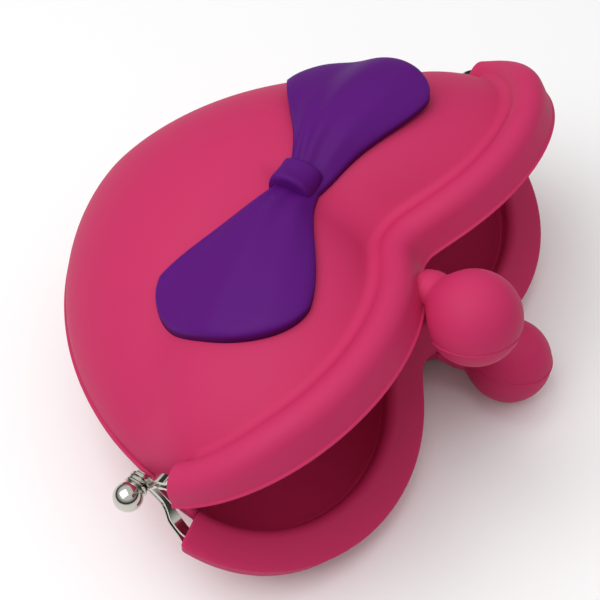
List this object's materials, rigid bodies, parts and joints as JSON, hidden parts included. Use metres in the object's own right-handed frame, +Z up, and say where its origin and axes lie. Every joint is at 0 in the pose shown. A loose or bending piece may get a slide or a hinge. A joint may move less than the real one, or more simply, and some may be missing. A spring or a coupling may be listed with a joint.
{
  "type": "silicone coin purse",
  "caption": "Heart-shaped soft silicone coin purse with a steel kiss-lock frame and a bow, standing half open on its back.",
  "frame": {"origin": "bottom centre of the bounding box, on the flat that the purse rests on and under the rivet axis; the box's centre lies 0.5 mm further towards the mouth", "axes": "+X along the rivet axis, -Y towards the mouth, +Z up"},
  "size_m": [0.1082, 0.0835, 0.0476],
  "materials": {
    "silicone": "matte soft-touch silicone, pink",
    "bow": "satin silicone, purple",
    "chrome": "bright plated steel"
  },
  "bodies": {
    "bag": {"pouch": "silicone"},
    "front_half": {"front_lip": "silicone", "front_frame": "chrome", "front_clasp_stud": "chrome", "bow": "bow"},
    "back_half": {"back_lip": "silicone", "back_frame": "chrome", "back_clasp_stud": "chrome", "left_rivet": "chrome", "right_rivet": "chrome"}
  },
  "joints": [
    {"name": "front_opening", "type": "hinge", "parent": "bag", "child": "front_half", "pos_m": [0, 0, 0.0217], "axis": [-1, 0, 0], "range_deg": [-27.7, 12], "stiffness_Nm_per_rad": 0.15, "deforming": ["pouch"]},
    {"name": "back_opening", "type": "hinge", "parent": "bag", "child": "back_half", "pos_m": [0, 0, 0.0217], "axis": [1, 0, 0], "range_deg": [-27.4, 0], "stiffness_Nm_per_rad": 0.15, "deforming": ["pouch"]}
  ]
}
